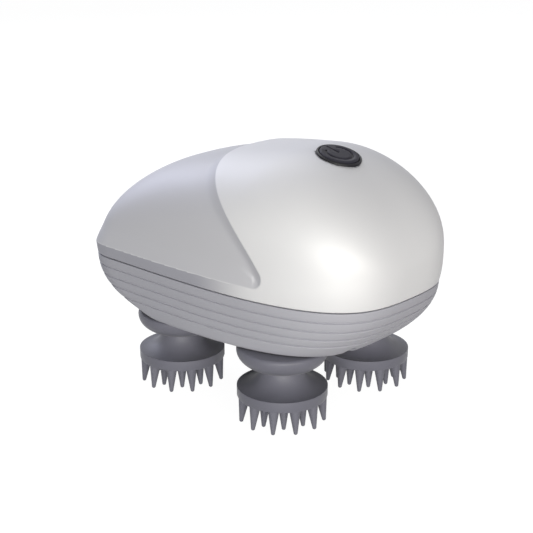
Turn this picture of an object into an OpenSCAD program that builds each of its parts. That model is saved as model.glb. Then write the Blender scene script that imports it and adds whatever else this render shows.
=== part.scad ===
// Electric scalp massager: an egg-shaped two-part case with a round button,
// a geared motor drive and four counter-rotating silicone massage heads.
// +X points to the tail (button end), +Z up; the tine tips stand on Z = 0.

/* [Case] */
// Half the length of the case
case_l = 65.5; // [62:0.5:72]
// Half the width of the case
case_w = 43.5; // [42.5:0.5:50]
// Height of the widest line above the tine tips, at mid length
belly_z = 54.5; // [53:0.5:58]
// Rise of the widest line towards the tail, in mm per mm
belly_rise = 0.08; // [0:0.01:0.1]
// Height of the dome above the widest line
dome_h = 39.4; // [38:0.2:48]
// Wall of both shells
wall_t = 2.4; // [1.8:0.1:2.6]
// Height of the joint between the shells
joint_z = 48.9; // [48:0.1:50]
// Height of the case floor above the tine tips
floor_z = 29; // [28.6:0.1:30]
// Thickness of the case floor
floor_t = 2; // [1.6:0.1:2]
// Thickness of the gasket in the joint
gasket_t = 0.4; // [0.3:0.05:0.6]

/* [Sculpted step] */
// Depth of the recessed nose field
step_d = 1; // [0.4:0.1:1.2]
// Height of the lip band under the recessed field
lip_h = 4.6; // [3:0.2:6]
// Furthest reach of the step towards the tail
step_x = 30.5; // [24:0.5:34]
// Corner radius at the foot of the step
step_r = 5; // [3:0.5:6]

/* [Hull grooves] */
// Depth of each groove round the lower shell
groove_d = 0.6; // [0.3:0.1:0.9]
// Half the width of each groove
groove_w = 0.45; // [0.3:0.05:0.7]

/* [Heads] */
// Distance between the head axes across the case
head_pitch_y = 48.8; // [47.5:0.2:49.5]
// Place of the drive centre along the case
drive_x = 0.5; // [0:0.1:1.5]
// Radius of the brush disc
disc_r = 16.5; // [15:0.1:17]
// Height of the disc rim
rim_h = 4; // [3:0.2:5]
// Radius of the neck above the disc
neck_r = 7.7; // [7.4:0.1:9]
// Length of the tines
tine_l = 9; // [7:0.2:10]
// Radius of a tine at its root
tine_r = 2.1; // [1.6:0.1:2.2]
// Radius of a tine tip
tip_r = 0.75; // [0.5:0.05:1]
// Tines in the outer ring
outer_tines = 12; // [8:1:14]
// Tines in the inner ring
inner_tines = 9; // [5:1:9]

/* [Drive] */
// Tooth size of the head gears
head_mod = 0.99; // [0.98:0.01:1]
// Teeth of a head gear
head_teeth = 20; // [19:1:20]
// Teeth of a drive gear
drive_teeth = 35; // [35:1:35]
// Tooth size of the reduction gears
fine_mod = 0.6; // [0.58:0.01:0.62]
// Teeth of the pinions
pinion_teeth = 12; // [12:1:13]
// Teeth of the reduction wheels
wheel_teeth = 48; // [46:1:48]
// Face width of the head and drive gears
gear_face = 5; // [4:0.5:5]
// Face width of the reduction wheels
wheel_face = 3; // [2.5:0.25:3.2]
// Radius of an output shaft
shaft_r = 3; // [2.6:0.1:3.2]
// Running clearance of a shaft in its bush, on the radius
run_fit = 0.04; // [0.03:0.01:0.08]
// Thickness of the gearbox plates
plate_t = 2.5; // [2:0.25:2.5]

/* [Motor] */
// Radius of the motor can
motor_r = 12.2; // [10.5:0.1:12.4]
// Length of the motor can
motor_l = 22.5; // [20:0.5:23]

/* [Battery] */
// Radius of the cell
cell_r = 9.2; // [8.8:0.1:9.4]
// Length of the cell
cell_l = 65; // [60:0.5:66]
// Distance from the drive centre to the cell
cell_back = 31; // [29:0.5:33]

/* [Button] */
// Place of the button along the case
button_x = 31.2; // [27:0.2:32]
// Lean of the button towards the tail, in degrees
button_lean = 15; // [14:0.5:18]
// Outer radius of the button ring
ring_r = 8.3; // [8:0.1:9]
// Width of the button ring
ring_w = 0.8; // [0.6:0.1:1]
// Travel of the button
button_travel = 0.5; // [0.3:0.1:0.7]

/* [Charging port] */
// Width of the charging socket
socket_w = 9; // [8.4:0.1:9.4]
// Height of the charging socket
socket_h = 3.2; // [2.8:0.1:3.4]
// Height of the socket floor above the tine tips
socket_z = 42.2; // [41.8:0.1:42.4]

/* [Hidden] */
$fn = 64;
eps = 0.01;
slide_fit = 0.3;
gasket_in = wall_t / 2;

// Plan and profile exponents of the case (a higher one is squarer)
wide_x = -45;
plan_nose = 2.75;
plan_tail = 3.4;
crown_x = 17;
crown_nose = 2.7;
crown_tail = 1.8;
keel_x = -2.5;
keel_d = 38.9;
keel_nose = 2.25;
keel_tail = 2.75;
side_nose = 2.3;
side_tail = 3.1;
side_low = 2.45;
// How far the hull draws in from the joint to the floor, and how late
rake_nose = 0.56;
rake_nose_late = 2.8;
rake_tail = 0.213;
rake_tail_late = 1.95;
rake_side = 0.05;
rake_side_late = 1.8;
// Heights of the four grooves as shares of the hull height
groove_at = [0.196, 0.384, 0.556, 0.723];
// Slope and curve of the step line up the side of the dome
step_slope = 0.6;
step_curve = 0.0162;
// Columns of the shell meshes: tail part and nose part of one side
tail_cols = 16;
nose_cols = 20;

rim_up_z = joint_z + gasket_t / 2;
rim_low_z = joint_z - gasket_t / 2;
lip_z = joint_z + lip_h;

// Share by which the drive and the battery follow the case
length_fit = case_l / 65.5;
width_fit = case_w / 43.5;
fit = min(length_fit, width_fit);

// Head and gear layout
coarse_mod = head_mod * fit;
small_mod = fine_mod * fit;
drive_r = coarse_mod * drive_teeth / 2;
head_gear_r = coarse_mod * head_teeth / 2;
head_y = head_pitch_y / 2 * fit;
head_x = sqrt(pow(drive_r + head_gear_r, 2) - pow(head_y - drive_r, 2));
fine_gap = small_mod * (pinion_teeth + wheel_teeth) / 2;
HEADS = [[drive_x - head_x, -head_y], [drive_x + head_x, -head_y],
         [drive_x + head_x, head_y], [drive_x - head_x, head_y]];
DRIVE_A = [drive_x, drive_r];
DRIVE_B = [drive_x, -drive_r];
TRANSFER = [drive_x, drive_r - fine_gap];
MOTOR = [drive_x + fine_gap, drive_r - fine_gap];

// Levels of the drive, from the case floor up
base_z = floor_z + floor_t;
deck_z = base_z + 2.5;
deck_top = deck_z + plate_t;
bush_rim_t = 0.7;
bush_top = deck_top + bush_rim_t;
gear_z = bush_top + 0.8;
gear_top = gear_z + gear_face;
wheel_a_z = gear_top + 1;
wheel_a_top = wheel_a_z + wheel_face;
wheel_b_z = wheel_a_top + 1.5;
wheel_b_top = wheel_b_z + wheel_face;
cover_z = wheel_b_top + 1.5;
cover_top = cover_z + plate_t;
motor_top = cover_top + motor_l;

// Axles, screws and posts
axle_r = 1.5;
transfer_axle_r = 1;
motor_shaft_r = 1;
screw_r = 1.3;
screw_head_r = 2.4;
screw_head_h = 1.6;
post_r = 3;
post_bore = 0.9;
POSTS = [for (sx = [-1, 1], sy = [-1, 1]) [drive_x + sx * 15 * fit, sy * 34.5 * fit]];
CASE_SCREWS = [for (sx = [-1, 1], sy = [-1, 1]) [sx * 50 * length_fit, sy * 16 * width_fit]];
case_boss_r = 3.6;
case_seat_z = 42;
case_screw_top = 58;
boss_cover = 1;
small_screw_r = 0.9;
small_head_r = 1.8;
hub_r = 5;
axle_boss_r = 4;
base_bush_r = shaft_r + 2;
cover_bush_r = shaft_r + 1.6;
cover_bush_z = gear_top + 1.2;
cover_bush_l = 4.8;

// Head stack
disc_z = tine_l;
disc_top = disc_z + rim_h;
cup_gap = 0.4;
cup_top = floor_z - cup_gap;
cup_r = disc_r + 0.1;
cup_edge = 1.2;
cup_floor = 24.4;
neck_top = 20.5;
bowl_z = 27;
core_r = neck_r - 1.8;
foot_r = 12;
foot_z = disc_z + 1.6;
foot_top = foot_z + 1.8;
shaft_z = foot_top + 1.1;
shaft_top = cover_z - 2.5;
inner_tine_at = 10.2;
collar_r = 8;
collar_z = cup_floor + 1;
well_r = collar_r + 0.6;
seal_r = 6;
lean_out = 0.8;

// Charging port in the nose
socket_x = 5.1 - case_l;
socket_l = 8;
socket_wall = 0.5;
tongue_t = 0.7;
port_clear = 2.8;
charge_l = 14;
charge_w = 18;
charge_x = socket_x + 4.4;
flange_w = 1.4;
flange_t = 1.5;
flange_sunk = 0.1;
charge_post_r = 2.4;
CHARGE_SCREWS = [for (sy = [-1, 1]) [charge_x + charge_l - 4, sy * (charge_w / 2 - 3)]];

// Button stack in its own leaning frame
cap_r = ring_r - ring_w - slide_fit;
cap_top = 0.9;
cap_edge = 0.4;
cap_low = -2.4;
groove_low = -1.9;
groove_top = -1.1;
groove_in = cap_r - 0.6;
stem_r = 1.6;
stem_low = -6.9;
plunger_low = -8.4;
wall_under = -wall_t - 1.5;
ring_top = 0.5;
frame_z = -6;
board_z = -11;
board_t = 1.2;
board_l = 26;
board_w = 20;
board_hold = ring_r + 1.7;
board_top = board_z + board_t;
switch_w = 6;
switch_h = 1.8;
// Corner and size of each part on the circuit board
CHIPS = [[[-9, 3], [5, 4, 1.2]], [[4, 3.5], [4, 4, 1]], [[-9, -8], [3, 3, 1]], [[3.5, -8.5], [6, 3.6, 3]]];

lead_r = 0.6;

// Power symbol on the cap
symbol_r = 4.3;
symbol_w = 0.7;
symbol_d = 0.3;
symbol_gap = 4.6;
symbol_bar = 5.4;

// ---- Shape of the case ----

// Superellipse: 1 at u = 0, 0 at u = 1
function lame(u, p) = u >= 1 ? 0 : pow(1 - pow(max(u, 0), p), 1 / p);
// The same along the case, with its own exponent to each end
function along(x, mid, l, nose, tail) =
    x < mid ? lame((mid - x) / (mid + l), nose) : lame((x - mid) / (l - mid), tail);
function belly(x) = belly_z + belly_rise * x;
function dome(x, inset) = (dome_h - inset) * along(x, crown_x, case_l - inset, crown_nose, crown_tail);
function keel(x, inset) = (keel_d - inset) * along(x, keel_x, case_l - inset, keel_nose, keel_tail);
function plan(x, inset) = (case_w - inset) * along(x, wide_x, case_l - inset, plan_nose, plan_tail);
function side(x) = side_nose + (side_tail - side_nose) * (x + case_l) / (2 * case_l);
// Half width of the egg at a place along it and a height
function half_y(x, z, inset) =
    abs(x) >= case_l - inset ? 0 :
    z >= belly(x) ? plan(x, inset) * lame((z - belly(x)) / max(dome(x, inset), eps), side(x))
                  : plan(x, inset) * lame((belly(x) - z) / max(keel(x, inset), eps), side_low);
function is_in(x, y, z, inset) = abs(y) < half_y(x, z, inset);
// Distance from a centre to the skin in one direction, by halving
function reach(cx, a, z, inset, low = 0, high = 90, n = 20) =
    n == 0 ? low :
    let (r = (low + high) / 2)
    is_in(cx + r * cos(a), r * sin(a), z, inset)
        ? reach(cx, a, z, inset, r, high, n - 1)
        : reach(cx, a, z, inset, low, r, n - 1);

// Highest point of the dome
function peak_z(inset) = max([for (x = [0:0.5:40]) belly(x) + dome(x, inset)]);
function peak_x(inset) = [for (x = [0:0.5:40]) if (belly(x) + dome(x, inset) >= peak_z(inset)) x][0];
function centre_x(z) = peak_x(0) * min(1, max(0, (z - joint_z) / (peak_z(0) - joint_z)));

// Step line: how far towards the tail the recessed field reaches at a height
corner_z = lip_z + step_r;
function step_at(z) =
    z < corner_z ? step_x - step_r + sqrt(max(0, step_r * step_r - pow(corner_z - z, 2)))
                 : step_x - step_slope * (z - corner_z) - step_curve * pow(z - corner_z, 2);
// Its direction seen from the ring centre, kept clear of the nose
function step_a(z) =
    let (x = step_at(z), y = half_y(x, z, 0), a = atan2(y, x - centre_x(z)))
    y <= 0 ? 170 : min(170, a);
function field_open(z) = half_y(step_at(z), z, 0) > 1;

// One ring of the dome; the nose part is sunk by a recess
function half_ring(z, inset, recess) =
    let (cx = centre_x(z), a0 = step_a(z), a1 = a0 + 1)
    concat(
        [for (k = [0:tail_cols]) let (a = a0 * k / tail_cols, r = reach(cx, a, z, inset))
            [cx + r * cos(a), r * sin(a), z]],
        [for (k = [0:nose_cols])
            let (a = a1 + (180 - a1) * k / nose_cols, r = reach(cx, a, z, inset + recess))
            [cx + r * cos(a), r * sin(a), z]]);
function full_ring(half) =
    concat(half, [for (k = [len(half) - 2:-1:1]) [half[k][0], -half[k][1], half[k][2]]]);
function ring(z, inset, recess = 0) = full_ring(half_ring(z, inset, recess));

// Ring of the hull at a depth below the joint, drawn in from the joint outline
function hull_share(z) = (joint_z - z) / (joint_z - floor_z);
function drawn_in(p, z, low = 0) =
    let (t = hull_share(z - low))
    [p[0] * (p[0] < 0 ? 1 - rake_nose * pow(t, rake_nose_late) : 1 - rake_tail * pow(t, rake_tail_late)),
     p[1] * (1 - rake_side * pow(t, rake_side_late)), z];
function hull_ring(z, inset, low = 0) = [for (p = ring(rim_low_z, inset)) drawn_in(p, z, low)];

// Faces of a skin of rings from the outer rim over the outside, back inside
function skin_faces(rings, n, closed) =
    [for (i = [0:rings - 2], j = [0:n - 1])
        let (a = i * n + j, b = i * n + (j + 1) % n) each [[a, a + n, b], [b, a + n, b + n]]];

module upper_skin() {
    top = peak_z(0);
    inner_top = peak_z(wall_t);
    field_top = [for (z = [top - 0.5:-0.25:top - 12]) if (field_open(z)) z][0];
    outer = concat(
        [for (z = [rim_up_z, (rim_up_z + lip_z) / 2, lip_z]) ring(z, 0)],
        [ring(lip_z + eps * 5, 0, step_d)],
        [for (k = [1:10]) ring(lip_z + (field_top - lip_z) * sin(9 * k), 0, step_d)],
        [for (s = [0.25, 0.6, 0.85]) ring(field_top + (top - field_top) * s, 0)]);
    inner = [for (k = [9:-1:0]) ring(rim_up_z + (inner_top - rim_up_z) * sin(9.6 * k), wall_t)];
    n = len(outer[0]);
    ro = len(outer);
    ri = len(inner);
    // Outer pole, outer rings from the top down, inner rings from the rim up, inner pole
    down = [for (k = [ro - 1:-1:0]) outer[k]];
    up = [for (k = [ri - 1:-1:0]) inner[k]];
    points = concat([[peak_x(0), 0, top]], [for (r = down) each r], [for (r = up) each r],
                    [[peak_x(wall_t), 0, inner_top]]);
    total = ro + ri;
    last = 1 + total * n;
    faces = concat(
        [for (j = [0:n - 1]) [0, 1 + (j + 1) % n, 1 + j]],
        [for (i = [0:total - 2], j = [0:n - 1])
            let (a = 1 + i * n + j, b = 1 + i * n + (j + 1) % n) each [[a, b, a + n], [b, b + n, a + n]]],
        [for (j = [0:n - 1]) [1 + (total - 1) * n + j, 1 + (total - 1) * n + (j + 1) % n, last]]);
    polyhedron(points, faces, convexity = 6);
}

module lower_skin() {
    hull_h = joint_z - floor_z;
    grooves = [for (g = groove_at) joint_z - hull_h * g];
    outer = concat(
        [hull_ring(rim_low_z, 0)],
        [for (z = grooves, side = [-1:1]) hull_ring(z - side * groove_w, side == 0 ? groove_d : 0)],
        [for (s = [0.82, 0.91, 1]) hull_ring(joint_z - hull_h * s, 0)]);
    inner = [for (s = [0, 0.06, 0.16, 0.3, 0.5, 0.75, 1])
        hull_ring(base_z + (rim_low_z - base_z) * s, wall_t, floor_t * (1 - s))];
    n = len(outer[0]);
    total = len(outer) + len(inner);
    points = concat([for (r = outer) each r], [for (r = inner) each r]);
    lo = (len(outer) - 1) * n;
    // Outer wall down, flat floor, inner floor, inner wall up, rim
    faces = concat(
        [for (i = [0:len(outer) - 2], j = [0:n - 1])
            let (a = i * n + j, b = i * n + (j + 1) % n) each [[a, b, a + n], [b, b + n, a + n]]],
        [[for (j = [0:n - 1]) lo + j]],
        [[for (j = [n - 1:-1:0]) lo + n + j]],
        [for (i = [len(outer):total - 2], j = [0:n - 1])
            let (a = i * n + j, b = i * n + (j + 1) % n) each [[a, b, a + n], [b, b + n, a + n]]],
        [for (j = [0:n - 1])
            let (a = (total - 1) * n + j, b = (total - 1) * n + (j + 1) % n)
            each [[a, b, j], [b, (j + 1) % n, j]]]);
    polyhedron(points, faces, convexity = 6);
}

// ---- Helpers ----

module tube(r, bore, z0, z1) {
    translate([0, 0, z0])
        difference() {
            cylinder(r = r, h = z1 - z0);
            translate([0, 0, -1]) cylinder(r = bore, h = z1 - z0 + 2);
        }
}

module rod(r, z0, z1) {
    translate([0, 0, z0]) cylinder(r = r, h = z1 - z0);
}

module at(p) {
    translate([p[0], p[1], 0]) children();
}

// Frame of the button: origin on the dome, Z along its axis
button_z = belly(button_x) + dome(button_x, 0);
module button_frame() {
    translate([button_x, 0, button_z]) rotate([0, button_lean, 0]) children();
}

// Pan-head screw: head below z0, shank up to z1
module screw_up(z0, z1) {
    rod(screw_head_r, z0 - screw_head_h, z0);
    rod(screw_r, z0 - eps, z1);
}

// Pan-head screw: head above z1, shank down to z0
module screw_down(z0, z1) {
    rod(screw_head_r, z1, z1 + screw_head_h);
    rod(screw_r, z0, z1 + eps);
}

// Involute flank point at a radius, as an angle from the tooth middle
press_a = 25;
backlash = 0.12;
function inv(a) = tan(a) * 180 / PI - a;
function tooth_a(m, z, r) =
    let (rp = m * z / 2, rb = rp * cos(press_a), a = acos(min(1, rb / max(r, rb))))
    90 / z - (backlash / 2) / rp * 180 / PI + inv(press_a) - inv(a);
function gear_points(m, z, phase) =
    let (rp = m * z / 2, ra = rp + 0.9 * m, rr = rp - 1.2 * m, rb = rp * cos(press_a),
         rs = max(rr + 0.05 * m, rb), rad = [rs, (rs + rp) / 2, rp, (rp + ra) / 2, ra])
    [for (k = [0:z - 1]) let (c = phase + 360 * k / z) each concat(
        [let (a = c - tooth_a(m, z, rs)) [rr * cos(a), rr * sin(a)]],
        [for (r = rad) let (a = c - tooth_a(m, z, r)) [r * cos(a), r * sin(a)]],
        [for (i = [4:-1:0]) let (r = rad[i], a = c + tooth_a(m, z, r)) [r * cos(a), r * sin(a)]],
        [let (a = c + tooth_a(m, z, rs)) [rr * cos(a), rr * sin(a)]])];
module gear(m, z, phase, z0, face) {
    translate([0, 0, z0]) linear_extrude(face) polygon(gear_points(m, z, phase));
}
// Turn of gear 2 so that it meshes with gear 1; b is the direction from 1 to 2
function mesh_turn(p1, z1, b, z2) = b + 180 - 360 / z2 * (0.5 - (b - p1) * z1 / 360);
function heading(p, q) = atan2(q[1] - p[1], q[0] - p[0]);
turn_a = 0;
turn_b = mesh_turn(turn_a, drive_teeth, heading(DRIVE_A, DRIVE_B), drive_teeth);
function head_turn(i) =
    HEADS[i][1] > 0 ? mesh_turn(turn_a, drive_teeth, heading(DRIVE_A, HEADS[i]), head_teeth)
                    : mesh_turn(turn_b, drive_teeth, heading(DRIVE_B, HEADS[i]), head_teeth);
turn_transfer = mesh_turn(0, wheel_teeth, heading(DRIVE_A, TRANSFER), pinion_teeth);
turn_motor = mesh_turn(0, wheel_teeth, heading(TRANSFER, MOTOR), pinion_teeth);

// ---- Case ----

// Height of the dome over a point, and how high a boss may rise under its lowest side
function skin_z(x, y) = belly(x) + dome(x, 0) * lame(abs(y) / plan(x, 0), side(x));
function boss_top(p) =
    min([for (a = [0:45:315]) skin_z(p[0] + case_boss_r * cos(a), p[1] + case_boss_r * sin(a))])
    - step_d - boss_cover;

// Line of the nose between two heights, shifted inwards
function nose_x(z) = -reach(0, 180, rim_low_z, 0) * (1 - rake_nose * pow(hull_share(z), rake_nose_late));
function nose_line(z0, z1, shift) =
    [for (k = [0:4]) let (z = z0 + (z1 - z0) * k / 4) [nose_x(z) + shift, z]];
function backwards(p) = [for (k = [len(p) - 1:-1:0]) p[k]];
port_top = socket_z + socket_h;
flange_low = socket_z - flange_w;
flange_top = port_top + flange_w;
flange_seat = nose_line(flange_low, flange_top, flange_t);

// Outline in the XZ plane, drawn out over a width
module across(w) {
    translate([0, w / 2, 0]) rotate([90, 0, 0]) linear_extrude(w) children();
}

// Pocket in the nose that seats the plug's flange
module flange_pocket() {
    across(socket_w + 2 * flange_w + 2 * slide_fit)
        polygon(concat(
            [[-case_l - 2, flange_low - slide_fit], [flange_seat[0][0], flange_low - slide_fit]],
            flange_seat,
            [[flange_seat[4][0], flange_top + slide_fit], [-case_l - 2, flange_top + slide_fit]]));
}

// Block of the port's size, grown all round, from the nose inwards
module port_slot(grow, x0, x1) {
    translate([x0, -socket_w / 2 - grow, socket_z - grow])
        cube([x1 - x0, socket_w + 2 * grow, socket_h + 2 * grow]);
}

module upper_shell() {
    color("gainsboro")
        difference() {
            union() {
                upper_skin();
                for (p = CASE_SCREWS)
                    at(p) rod(case_boss_r, rim_up_z, boss_top(p));
            }
            button_frame() rod(ring_r, -12, 8);
            for (p = CASE_SCREWS)
                at(p) rod(screw_r, rim_up_z - 1, case_screw_top + 1);
        }
}

module lower_shell() {
    color("darkgray")
        difference() {
            union() {
                lower_skin();
                for (p = CASE_SCREWS)
                    at(p) rod(case_boss_r, case_seat_z - 6, rim_low_z);
                for (p = HEADS)
                    at(p) rod(collar_r, collar_z, base_z);
                for (p = CHARGE_SCREWS)
                    at(p) rod(charge_post_r, base_z + 3.6, socket_z - board_t);
                for (p = POSTS)
                    at(p) rod(post_r, base_z - floor_t / 2, deck_z);
            }
            for (p = CASE_SCREWS) {
                at(p) rod(screw_r + 0.2, case_seat_z - 1, rim_low_z + 1);
                at(p) rod(screw_head_r + 0.3, floor_z - 8, case_seat_z);
            }
            for (p = HEADS) {
                at(p) rod(seal_r, collar_z - 1, floor_z);
                at(p) rod(shaft_r + 1, floor_z - 1, deck_z);
            }
            for (p = CHARGE_SCREWS)
                at(p) rod(small_screw_r, socket_z - 6, socket_z);
            for (p = POSTS)
                at(p) rod(post_bore, floor_z + 0.8, deck_z + 1);
            port_slot(slide_fit, -case_l - 2, socket_x + port_clear);
            flange_pocket();
        }
}

module shell_gasket() {
    color("dimgray")
        translate([0, 0, rim_low_z])
            linear_extrude(gasket_t)
                difference() {
                    polygon([for (p = ring(joint_z, gasket_in)) [p[0], p[1]]]);
                    polygon([for (p = ring(joint_z, wall_t)) [p[0], p[1]]]);
                }
}

module case_screws() {
    color("silver")
        for (p = CASE_SCREWS)
            at(p) screw_up(case_seat_z, case_screw_top);
}

// ---- Button ----

module button_ring() {
    color("dimgray")
        button_frame() {
            tube(ring_r, ring_r - ring_w, frame_z, ring_top);
            tube(ring_r + 2 * ring_w, ring_r - ring_w, frame_z, wall_under - 1);
            for (sx = [-1, 1])
                translate([sx * board_hold, 0, 0]) tube(2, small_screw_r, board_z, frame_z + 0.5);
        }
}

module button_cap() {
    color("dimgray")
        button_frame()
            difference() {
                union() {
                    rod(cap_r, cap_low, cap_top - cap_edge);
                    translate([0, 0, cap_top - cap_edge])
                        cylinder(r1 = cap_r, r2 = cap_r - 1.5 * cap_edge, h = cap_edge);
                    rod(stem_r, stem_low, cap_low + 0.1);
                }
                difference() {
                    tube(symbol_r + symbol_w / 2, symbol_r - symbol_w / 2, cap_top - symbol_d, cap_top + 1);
                    translate([-symbol_r, 0, cap_top]) cube([3, symbol_gap, 3], center = true);
                }
                translate([-symbol_bar / 2 - 0.2, 0, cap_top + 1 - symbol_d])
                    cube([symbol_bar, symbol_w, 2], center = true);
                tube(cap_r + 1, groove_in, groove_low, groove_top);
            }
}

module button_seal() {
    color("black")
        button_frame()
            tube(cap_r + 0.2, groove_in, groove_low, groove_top);
}

module switch_plunger() {
    color("white")
        button_frame()
            rod(stem_r + 0.1, plunger_low, stem_low);
}

module tact_switch() {
    color("silver")
        button_frame()
            difference() {
                translate([-switch_w / 2, -switch_w / 2, board_top]) cube([switch_w, switch_w, switch_h]);
                rod(stem_r + 0.2, board_top + 0.4, 0);
            }
}

module circuit_board() {
    color("seagreen")
        button_frame()
            difference() {
                translate([-board_l / 2, -board_w / 2, board_z])
                    cube([board_l, board_w, board_t]);
                for (sx = [-1, 1])
                    translate([sx * board_hold, 0, 0]) rod(2.1, board_z - 1, 0);
            }
}

module board_chips() {
    color("black")
        button_frame()
            for (chip = CHIPS)
                translate([chip[0][0], chip[0][1], board_top]) cube(chip[1]);
}

module board_screws() {
    color("silver")
        button_frame()
            for (sx = [-1, 1])
                translate([sx * board_hold, 0, 0]) {
                    rod(screw_head_r, board_z - 1, board_z);
                    rod(small_screw_r, board_z - eps, board_z + 4);
                }
}

// ---- Charging port ----

module charge_board() {
    color("seagreen")
        difference() {
            translate([charge_x, -charge_w / 2, socket_z - board_t]) cube([charge_l, charge_w, board_t]);
            for (p = CHARGE_SCREWS)
                at(p) rod(small_screw_r + 0.1, socket_z - 5, socket_z + 1);
        }
}

module charge_socket() {
    color("silver") {
        difference() {
            port_slot(0, socket_x, socket_x + socket_l);
            port_slot(-socket_wall, socket_x - 1, socket_x + socket_l - 1);
        }
        translate([socket_x + 2, -2.8, socket_z + (socket_h - tongue_t) / 2])
            cube([socket_l - 2.5, 5.6, tongue_t]);
    }
}

module charge_screws() {
    color("silver")
        for (p = CHARGE_SCREWS)
            at(p) {
                rod(small_head_r, socket_z, socket_z + 1.2);
                rod(small_screw_r, socket_z - 5.5, socket_z + eps);
            }
}

module port_plug() {
    plug_end = socket_x - slide_fit;
    plug_nose = nose_line(socket_z, port_top, flange_t / 2);
    color("gray") {
        across(socket_w + 2 * flange_w)
            polygon(concat(nose_line(flange_low, flange_top, flange_sunk), backwards(flange_seat)));
        across(socket_w)
            polygon(concat(plug_nose, [[plug_end, port_top], [plug_end, socket_z]]));
    }
}

// ---- Battery ----

cell_x = drive_x - cell_back * fit;
cell_len = cell_l * fit;
tab_t = 0.3;
saddle_t = 2;
cell_z = cover_top + saddle_t + cell_r;
cradle_w = 1.6 * cell_r;
cradle_h = 0.7 * cell_r;
foot_w = 8;
foot_l = 28;
CRADLE_SCREWS = [for (sy = [-1, 1]) [cell_x + cradle_w / 2 + foot_w / 2 - 0.5, sy * (foot_l / 2 - 4)]];

module battery_cell() {
    color("royalblue")
        translate([cell_x, -cell_len / 2, cell_z])
            rotate([-90, 0, 0]) cylinder(r = cell_r, h = cell_len);
}

module battery_tabs() {
    color("silver")
        for (sy = [-1, 1])
            translate([cell_x, sy * (cell_len + tab_t) / 2, cell_z])
                cube([6, tab_t, 12], center = true);
}

module battery_cradle() {
    color("lightgray")
        difference() {
            union() {
                translate([cell_x - cradle_w / 2, -cell_len / 2, cover_top])
                    cube([cradle_w, cell_len, cradle_h]);
                translate([cell_x + cradle_w / 2 - 1, -foot_l / 2, cover_top])
                    cube([foot_w, foot_l, saddle_t]);
            }
            translate([cell_x, -cell_len / 2 - 1, cell_z])
                rotate([-90, 0, 0]) cylinder(r = cell_r, h = cell_len + 2);
            for (p = CRADLE_SCREWS)
                at(p) rod(screw_r, cover_top - 1, cover_top + saddle_t + 1);
        }
}

module cradle_screws() {
    color("silver")
        for (p = CRADLE_SCREWS)
            at(p) screw_down(cover_z + 0.5, cover_top + saddle_t);
}

// ---- Motor ----

can_t = 0.7;
can_floor_t = 1.2;
cap_t = 2;
nub_r = 4;
magnet_t = 2;
air_gap = 0.4;
terminal_at = 7;
MOTOR_SCREWS = [for (sy = [-1, 1]) MOTOR + [0, sy * 8]];

module motor_can() {
    color("silver")
        difference() {
            at(MOTOR) {
                rod(motor_r, cover_top, motor_top);
                rod(nub_r, cover_z + 0.8, cover_top + eps);
            }
            at(MOTOR) rod(motor_r - can_t, cover_top + can_floor_t, motor_top + 1);
            at(MOTOR) rod(motor_shaft_r + run_fit, cover_z, cover_top + 2);
            for (p = MOTOR_SCREWS)
                at(p) rod(screw_r, cover_z, cover_top + 2);
        }
}

module motor_end_cap() {
    color("ivory")
        at(MOTOR) {
            tube(motor_r - can_t, motor_shaft_r + run_fit, motor_top - cap_t, motor_top);
            tube(motor_r, motor_shaft_r + run_fit, motor_top, motor_top + cap_t / 2);
        }
}

module motor_terminals() {
    color("gold")
        at(MOTOR)
            for (sy = [-1, 1])
                translate([-0.25, sy * terminal_at - 1, motor_top + cap_t / 2]) cube([0.5, 2, 2.6]);
}

module motor_magnets() {
    color("dimgray")
        at(MOTOR)
            for (s = [0, 180])
                rotate([0, 0, s - 60])
                    translate([0, 0, cover_top + 3])
                        rotate_extrude(angle = 120)
                            translate([motor_r - can_t - magnet_t, 0]) square([magnet_t, motor_l - 7]);
}

module motor_shaft() {
    color("silver")
        at(MOTOR) rod(motor_shaft_r, wheel_b_z - 0.5, motor_top + 1.6);
}

module rotor_core() {
    color("darkgoldenrod")
        at(MOTOR)
            tube(motor_r - can_t - magnet_t - air_gap, motor_shaft_r, cover_top + 4, motor_top - 4);
}

module motor_pinion() {
    color("gold")
        at(MOTOR)
            difference() {
                gear(small_mod, pinion_teeth, turn_motor, wheel_b_z - 0.3, wheel_face + 0.8);
                rod(motor_shaft_r, wheel_b_z - 1, wheel_b_top + 2);
            }
}

module motor_screws() {
    color("silver")
        for (p = MOTOR_SCREWS)
            at(p) {
                rod(screw_r, cover_z - eps, cover_top + can_floor_t - 0.1);
                rod(screw_head_r, cover_z - 1.2, cover_z);
            }
}

// ---- Gearbox ----

module plate(z0) {
    translate([0, 0, z0])
        linear_extrude(plate_t)
            hull() {
                for (p = HEADS) translate(p) circle(r = base_bush_r + 2, $fn = 32);
                for (p = POSTS) translate(p) circle(r = post_r, $fn = 32);
            }
}

module gearbox_base() {
    color("gainsboro")
        difference() {
            union() {
                plate(deck_z);
                for (p = POSTS) at(p) rod(post_r, deck_z, cover_z);
                for (p = [DRIVE_A, DRIVE_B]) at(p) rod(axle_boss_r, deck_z, bush_top);
            }
            for (p = HEADS) at(p) rod(base_bush_r, deck_z - 1, deck_top + 1);
            for (p = [DRIVE_A, DRIVE_B]) at(p) rod(axle_r, deck_z - 1, bush_top + 1);
            for (p = POSTS) at(p) rod(post_bore + 0.2, deck_z - 1, cover_z + 1);
        }
}

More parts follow.
